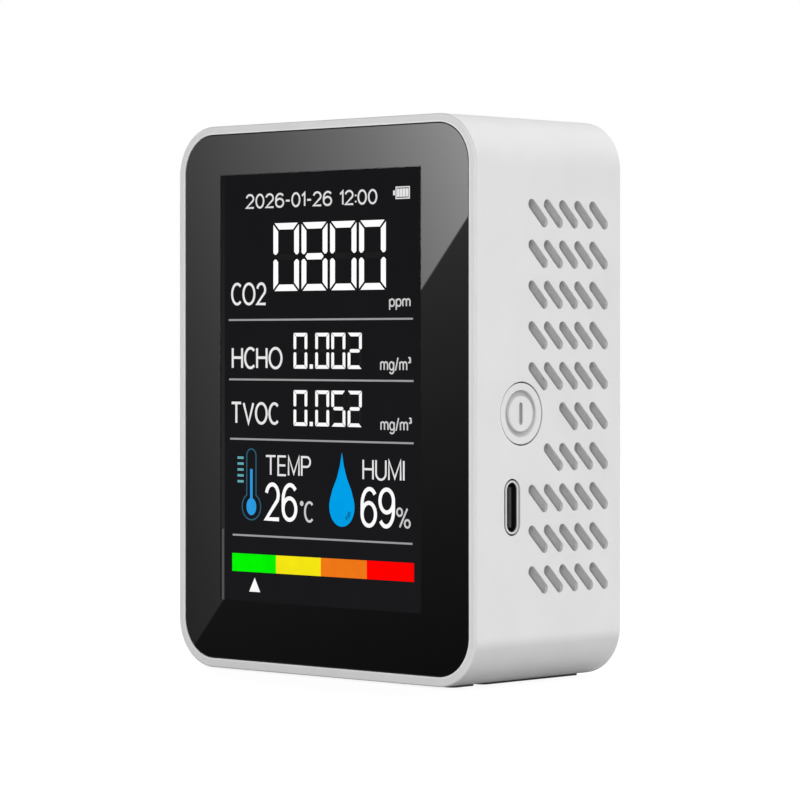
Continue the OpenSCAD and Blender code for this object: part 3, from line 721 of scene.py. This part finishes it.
def text_strokes(signs, left, right, low, high, width):
    """Pen lines of a row of signs, stretched to fill a box that includes the width of the pen."""
    placed = []
    advance = 0.0
    for sign in signs:
        glyph = GLYPHS[sign]
        placed += [([(x + advance, z) for x, z in points], closed) for points, closed in glyph]
        reach = max((x for points, _ in glyph for x, _ in points), default=WORD_GAP)
        advance += reach + LETTER_GAP
    xs = [x for points, _ in placed for x, _ in points]
    zs = [z for points, _ in placed for _, z in points]
    scale_x = (right - left - width) / (max(xs) - min(xs))
    scale_z = (high - low - width) / (max(zs) - min(zs))

    def moved(x, z):
        return (
            left + width / 2 + (x - min(xs)) * scale_x,
            low + width / 2 + (z - min(zs)) * scale_z,
        )

    return [([moved(x, z) for x, z in points], closed, width) for points, closed in placed]


# ---------------------------------------------------------------- seven-segment figures

SEGMENTS_ON = {"0": "abcdef", "2": "abdeg", "5": "acdfg", "8": "abcdefg"}


def segments(width, height, bar, gap, split):
    """Outlines of the segments a to g of one figure, from its lower left corner. Bars meet in
    mitres with a gap between them, and split is half the gap between upper and lower bars."""
    middle = height / 2
    notch = 0.7 * gap

    def mirrored(outline, flip_x, flip_z):
        return [(width - x if flip_x else x, height - z if flip_z else z) for x, z in outline]

    top = [
        (notch, height),
        (width - notch, height),
        (width - bar - notch, height - bar),
        (bar + notch, height - bar),
    ]
    upper_left = [
        (0, height - notch),
        (bar, height - bar - notch),
        (bar, middle + bar / 2 + notch),
        (bar * 0.6, middle + split),
        (bar * 0.3, middle + split),
        (0, middle + split + bar * 0.3),
    ]
    centre = [
        (bar * 0.55 + notch, middle),
        (bar + notch, middle + bar * 0.48),
        (width - bar - notch, middle + bar * 0.48),
        (width - bar * 0.55 - notch, middle),
        (width - bar - notch, middle - bar * 0.48),
        (bar + notch, middle - bar * 0.48),
    ]
    return {
        "a": top,
        "b": mirrored(upper_left, True, False),
        "c": mirrored(upper_left, True, True),
        "d": mirrored(top, False, True),
        "e": mirrored(upper_left, False, True),
        "f": upper_left,
        "g": centre,
    }


def figure_plates(figure, left, low, shape, want_lit=True):
    """Plates of a figure's lit segments, or of its unlit ones."""
    return [
        [(left + x, low + z) for x, z in outline]
        for segment, outline in shape.items()
        if (segment in SEGMENTS_ON[figure]) == want_lit
    ]


# ---------------------------------------------------------------- picture on the display

BIG_FIGURES = "0800"
BIG_LEFT, BIG_LOW, BIG_PITCH = -11.08, 16.8, 6.87
BIG_SHAPE = segments(6.2, 11.75, 1.12, 0.42, 0.42)

SMALL_SHAPE = segments(3.3, 6.15, 0.62, 0.12, 0.26)
SMALL_LEFTS = (-6.15, -0.9, 2.95, 6.82)
POINT_SIZE = 0.74
POINT_LEFT = -2.25
SMALL_ROWS = {"0002": 3.4, "0052": -6.45}


def point_plate(low):
    right = POINT_LEFT + POINT_SIZE
    return [(POINT_LEFT, low), (right, low), (right, low + POINT_SIZE), (POINT_LEFT, low + POINT_SIZE)]


def add_figures():
    """The segment figures, and the faint segments that are switched off."""
    big, small, dim = [], [], []
    for i, figure in enumerate(BIG_FIGURES):
        place = (BIG_LEFT + i * BIG_PITCH, BIG_LOW, BIG_SHAPE)
        big += figure_plates(figure, *place)
        dim += figure_plates(figure, *place, want_lit=False)
    for figures, low in SMALL_ROWS.items():
        small.append(point_plate(low))
        for figure, left in zip(figures, SMALL_LEFTS):
            small += figure_plates(figure, left, low, SMALL_SHAPE)
            dim += figure_plates(figure, left, low, SMALL_SHAPE, want_lit=False)
    display_piece("big_figures", lit("lit_big_figures", grey(255), 1.05), plates=big)
    display_piece("small_figures", lit("lit_small_figures", grey(255), 1.0), plates=small)
    display_piece("unlit_segments", lit("unlit_segments", grey(30)), plates=dim)


CUBIC = ("m", "g", "/", "m", "cubed")
# Signs, left, right, low and high end, and width of the pen of each text
NAMES = (
    ("CO2", -21.6, -12.8, 14.38, 18.38, 0.46),
    ("HCHO", -21.45, -8.88, 3.25, 7.15, 0.46),
    ("TVOC", -21.7, -9.8, -6.38, -2.44, 0.46),
    ("TEMP", -13.1, -1.97, -15.21, -11.61, 0.36),
    ("HUMI", 10.3, 20.05, -15.4, -11.77, 0.36),
)
UNITS = (
    ("ppm", 16.5, 21.43, 13.23, 15.29, 0.27),
    (CUBIC, 14.43, 21.55, 2.54, 5.47, 0.27),
    (CUBIC, 14.49, 21.74, -7.53, -4.65, 0.27),
    (("degree", "C"), -4.6, -1.4, -23.03, -19.34, 0.42),
    ("%", 18.15, 21.45, -23.25, -19.75, 0.34),
)
CLIMATE = (
    ("26", -13.2, -5.26, -23.05, -16.35, 0.68),
    ("69", 9.87, 17.85, -23.4, -16.5, 0.68),
)
CLOCK = (("2026-01-26 12:00", -17.95, 13.75, 31.2, 33.8, 0.34),)


def add_words():
    """Names and units of the readings, the temperature and humidity, and the date and time."""
    for name, look, texts in (
        ("reading_names", lit("lit_names", grey(232)), NAMES),
        ("reading_units", lit("lit_units", grey(205)), UNITS),
        ("climate_figures", lit("lit_climate", grey(255)), CLIMATE),
        ("date_and_time", lit("lit_clock", grey(222)), CLOCK),
    ):
        strokes = [stroke for text in texts for stroke in text_strokes(*text)]
        display_piece(name, look, strokes=strokes)


# Height, left end and right end of each line between the rows
RULES = ((11.85, -22.2, 21.95), (1.45, -22.1, 22.1), (-8.95, -21.85, 22.1), (-25.75, -21.2, 21.85))
RULE_WIDTH = 0.32


def add_rules():
    strokes = [([(left, z), (right, z)], False, RULE_WIDTH) for z, left, right in RULES]
    display_piece("row_lines", lit("lit_lines", grey(158)), strokes=strokes)


BAR_LEFT, BAR_RIGHT, BAR_LOW, BAR_HIGH = -21.32, 22.2, -32.1, -28.95
BAR_COLOURS = {
    "green": colour(4, 244, 4),
    "yellow": colour(245, 230, 20),
    "orange": colour(240, 120, 24),
    "red": colour(255, 2, 0),
}
POINTER = [(-17.07, -35.53), (-14.38, -35.53), (-15.72, -33.09)]


def add_level_bar():
    """Four-colour level bar and the pointer under it."""
    step = (BAR_RIGHT - BAR_LEFT) / len(BAR_COLOURS)
    for i, (name, base) in enumerate(BAR_COLOURS.items()):
        left = BAR_LEFT + i * step
        outline = [(left, BAR_LOW), (left + step, BAR_LOW), (left + step, BAR_HIGH), (left, BAR_HIGH)]
        display_piece(f"level_bar_{name}", lit(f"lit_{name}", base), plates=[outline])
    display_piece("level_pointer", lit("lit_pointer", grey(250)), plates=[POINTER])


def add_thermometer():
    """Outlined glass, a filled column and the scale beside it."""
    x, bulb_z, bulb_r, tube_r, top_z = -16.55, -20.7, 2.3, 1.15, -11.8
    neck = math.degrees(math.asin(tube_r / bulb_r))
    glass = bow(x, top_z, tube_r, tube_r, 0, 180) + bow(x, bulb_z, bulb_r, bulb_r, 90 + neck, 450 - neck)
    column = [([(x, bulb_z), (x, -14.15)], False, 0.58)]
    ticks = [-16.35 + 1.03 * i for i in range(5)]
    scale = [([(-20.0, z), (-18.5, z)], False, 0.42) for z in ticks]
    bulb = bow(x, bulb_z, 1.2, 1.5, 0, 360)[:-1]
    display_piece(
        "thermometer_glass", lit("lit_glass", colour(46, 92, 112)), strokes=[(glass, True, 0.24)]
    )
    display_piece("thermometer_scale", lit("lit_scale", colour(100, 170, 180)), strokes=scale)
    display_piece("thermometer_column", lit("lit_column", colour(44, 156, 226)), [bulb], column)


def add_drop():
    """Water drop with a narrow neck and a dark glint near its lower right edge."""
    x, low, high, radius_x, radius_z = 5.43, -23.47, -10.87, 2.98, 3.4
    belly_z = low + radius_z
    rim = bow(x, belly_z, radius_x, radius_z, 160, 380)
    right_flank = [(x + 2.2, belly_z + 2.9), (x + 1.15, belly_z + 4.9), (x + 0.45, belly_z + 7.0)]
    left_flank = [(2 * x - px, pz) for px, pz in reversed(right_flank)]
    outline = rim + right_flank + [(x, high)] + left_flank
    display_piece("water_drop", lit("lit_drop", colour(0, 160, 233)), plates=[outline])
    glint = bow(x + 0.55, belly_z - 0.75, 1.3, 1.3, 288, 362)
    display_piece("drop_glint", lit("unlit_glint", colour(10, 40, 70)), strokes=[(glint, False, 0.65)])


EDGE_WIDTH = 0.8
EDGE_STEP = -24.8


def add_display_edge():
    """Polished left edge of the display, with a painted highlight: it glows more towards the bottom,
    as if it catches more light there.
    """
    left = -view_width / MM / 2
    bottom = -view_height / MM / 2
    look = Look("lit_edge")
    _, _, z = look.split(look.place)
    level = look.span(z, panel_low.z, panel_high.z, 1.15, 0.4)
    glow = look.add("ShaderNodeEmission", {"Color": grey(45), "Strength": level})
    faint_edge = look.done(glow.outputs[0])
    middle = left + EDGE_WIDTH / 2
    faint = [([(middle, EDGE_STEP), (middle, -bottom)], False, EDGE_WIDTH)]
    bright = [([(middle, bottom), (middle, EDGE_STEP)], False, 0.7 * EDGE_WIDTH)]
    display_piece("display_edge", faint_edge, strokes=faint)
    display_piece("display_edge_glint", lit("lit_edge_glint", grey(84)), strokes=bright)


def add_battery_sign():
    """Battery outline with its tip to the left and four bars of charge."""
    left, right, low, high = 18.1, 21.15, 31.93, 34.03
    frame_line = [(left, low + 0.1), (right, low + 0.1), (right, high - 0.1), (left, high - 0.1)]
    strokes = [(frame_line, True, 0.2)]
    strokes.append(([(left - 0.45, low + 0.65), (left - 0.45, high - 0.65)], False, 0.4))
    for i in range(4):
        x = left + 0.5 + 0.68 * i
        strokes.append(([(x, low + 0.35), (x, high - 0.35)], False, 0.58))
    display_piece("battery_sign", lit("lit_battery", grey(226)), strokes=strokes)


# ---------------------------------------------------------------- studio

WORLD_LEVEL = 0.5
WORLD_RISE = 0.25
WORLD_TO_RIGHT = 0.2


def add_world():
    """Even studio light, brighter from above and from the right; the camera sees plain white."""
    world = bpy.data.worlds.new("studio")
    bpy.context.scene.world = world
    world.use_nodes = True
    nodes, links = world.node_tree.nodes, world.node_tree.links
    nodes.clear()
    direction = nodes.new("ShaderNodeTexCoord").outputs["Generated"]
    dot = nodes.new("ShaderNodeVectorMath")
    dot.operation = "DOT_PRODUCT"
    dot.inputs[1].default_value = (WORLD_TO_RIGHT, 0.0, WORLD_RISE)
    links.new(direction, dot.inputs[0])
    level = nodes.new("ShaderNodeMath")
    level.operation = "ADD"
    level.inputs[1].default_value = WORLD_LEVEL
    links.new(dot.outputs["Value"], level.inputs[0])
    light = nodes.new("ShaderNodeBackground")
    links.new(level.outputs[0], light.inputs["Strength"])
    backdrop = nodes.new("ShaderNodeBackground")
    backdrop.inputs["Color"].default_value = (1, 1, 1, 1)
    choose = nodes.new("ShaderNodeMixShader")
    links.new(nodes.new("ShaderNodeLightPath").outputs["Is Camera Ray"], choose.inputs[0])
    links.new(light.outputs[0], choose.inputs[1])
    links.new(backdrop.outputs[0], choose.inputs[2])
    links.new(choose.outputs[0], nodes.new("ShaderNodeOutputWorld").inputs[0])


def stage_plane(name, corners, look):
    data = bpy.data.meshes.new(name)
    data.from_pydata(corners, [], [(0, 1, 2, 3)])
    data.materials.append(look)
    plane = bpy.data.objects.new(name, data)
    bpy.context.scene.collection.objects.link(plane)
    return plane


FLOOR_REACH = 4.0
FLOOR_TONE = 200
FLOOR_WHITENESS = 0.7


def add_floor():
    """Pale floor, which the camera sees as nearly white with a faint shadow under the object."""
    look = Look("floor")
    mottle = look.noise(60 * MM)
    paper = look.solid(
        look.mix(mottle, grey(FLOOR_TONE - 4), grey(FLOOR_TONE)), 0.9, Specular_IOR_Level=0.0
    )
    white = look.add("ShaderNodeEmission", {"Color": (1, 1, 1, 1), "Strength": 1.3})
    seen = look.add("ShaderNodeLightPath").outputs["Is Camera Ray"]
    whiteness = look.calc("MULTIPLY", seen, FLOOR_WHITENESS)
    floor_look = look.done(
        look.add("ShaderNodeMixShader", {0: whiteness, 1: paper, 2: white.outputs[0]}).outputs[0]
    )
    r = FLOOR_REACH
    plane = stage_plane("floor", [(-r, -r, 0), (r, -r, 0), (r, r, 0), (-r, r, 0)], floor_look)
    plane.visible_glossy = False


def set_reach(light, node, state):
    """Lets a light reach this CAD node only (INCLUDE), or everything but this node (EXCLUDE)."""
    reach = bpy.data.collections.new(f"{light.name}_reach")
    reach.objects.link(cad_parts[node])
    reach.collection_objects[0].light_linking.link_state = state
    light.light_linking.receiver_collection = reach


CARD_DISTANCE = 0.6
# What the card shows on the glass: brightness at a corner, and how it falls off per metre
GLARE_CORNER = (-30 * MM, 90 * MM)
GLARE_LEVEL, GLARE_TO_RIGHT, GLARE_RISE = 0.053, 26.1, 12.6
SHADE_CORNER = (28.5 * MM, 70 * MM)
SHADE_LEVEL, SHADE_TO_RIGHT, SHADE_RISE = 0.0232, -4.5, 25.4
GLARE_EDGE_POINT = (-0.4 * MM, 39.4 * MM)
GLARE_EDGE_SLOPE = 1.137
GLASS_REFLECTS = 0.049


def add_reflection_card():
    """Card that only the front glass reflects: bright with a straight edge across it.

    The camera sees the card mirrored in the glass, so a point on the glass and its point on the
    card are in line with the camera's mirror image behind the glass."""
    depth = lens_low.y - camera_place.y
    scale = (depth + CARD_DISTANCE) / depth
    look = Look("reflection_card")
    card_x, _, card_z = look.split(look.place)

    def glass_place(value, eye):
        return look.calc("ADD", look.calc("DIVIDE", look.calc("SUBTRACT", value, eye), scale), eye)

    x = glass_place(card_x, camera_place.x)
    z = glass_place(card_z, camera_place.z)

    def falloff(corner, level, to_right, rise):
        sideways = look.calc("MULTIPLY", look.calc("SUBTRACT", x, corner[0]), to_right)
        upwards = look.calc("MULTIPLY", look.calc("SUBTRACT", z, corner[1]), rise)
        power = look.calc("EXPONENT", look.calc("ADD", sideways, upwards))
        return look.calc("MULTIPLY", power, level / GLASS_REFLECTS)

    glare = falloff(GLARE_CORNER, GLARE_LEVEL, GLARE_TO_RIGHT, GLARE_RISE)
    shade = falloff(SHADE_CORNER, SHADE_LEVEL, SHADE_TO_RIGHT, SHADE_RISE)
    edge = look.calc("MULTIPLY", look.calc("SUBTRACT", x, GLARE_EDGE_POINT[0]), GLARE_EDGE_SLOPE)
    above = look.calc("SUBTRACT", look.calc("SUBTRACT", z, GLARE_EDGE_POINT[1]), edge)
    lit_part = look.span(above, -0.25 * MM, 0.25 * MM, 0.0, 1.0)
    extra = look.calc("MULTIPLY", lit_part, look.calc("SUBTRACT", glare, shade))
    strength = look.calc("ADD", shade, extra)
    card_look = look.done(look.add("ShaderNodeEmission", {"Strength": strength}).outputs[0])

    y = lens_low.y - CARD_DISTANCE
    xs = [camera_place.x + (v - camera_place.x) * scale for v in (shell_low.x, shell_high.x)]
    zs = [camera_place.z + (v - camera_place.z) * scale for v in (0.0, shell_high.z)]
    corners = [(xs[0], y, zs[0]), (xs[1], y, zs[0]), (xs[1], y, zs[1]), (xs[0], y, zs[1])]
    card = stage_plane("reflection_card", corners, card_look)
    card.visible_camera = False
    card.visible_diffuse = False
    card.visible_shadow = False
    card.visible_transmission = False
    set_reach(card, "front_lens", "INCLUDE")


LAMP_SIZE = 0.3
# Power in watts and place of each large soft lamp: the key is low at the right front, the back
# and left ones light what the camera doesn't see, and the last rakes the floors of the slots
LAMPS = {
    "key": (4.3, Vector((0.66, -0.62, 0.1))),
    "back": (3.9, Vector((0.0, 0.66, 0.62))),
    "left": (2.6, Vector((-0.8, 0.25, 0.3))),
    "raking": (9.0, Vector((0.34, -0.84, 0.2))),
}


def add_lamps():
    lamps = {}
    for name, (power, place) in LAMPS.items():
        data = bpy.data.lights.new(name, "AREA")
        data.shape = "DISK"
        data.size = LAMP_SIZE
        data.energy = power
        lamp = bpy.data.objects.new(name, data)
        lamp.location = place
        lamp.rotation_euler = (-place).to_track_quat("-Z", "Y").to_euler()
        bpy.context.scene.collection.objects.link(lamp)
        lamps[name] = lamp
    set_reach(lamps["key"], "right_dust_filter", "EXCLUDE")
    set_reach(lamps["raking"], "right_dust_filter", "INCLUDE")
    lamps["back"].visible_glossy = False


dress_cad_nodes()
add_figures()
add_words()
add_rules()
add_level_bar()
add_thermometer()
add_drop()
add_battery_sign()
add_display_edge()
add_world()
add_floor()
add_reflection_card()
add_lamps()
add_camera()
bpy.context.scene.view_settings.view_transform = "Standard"
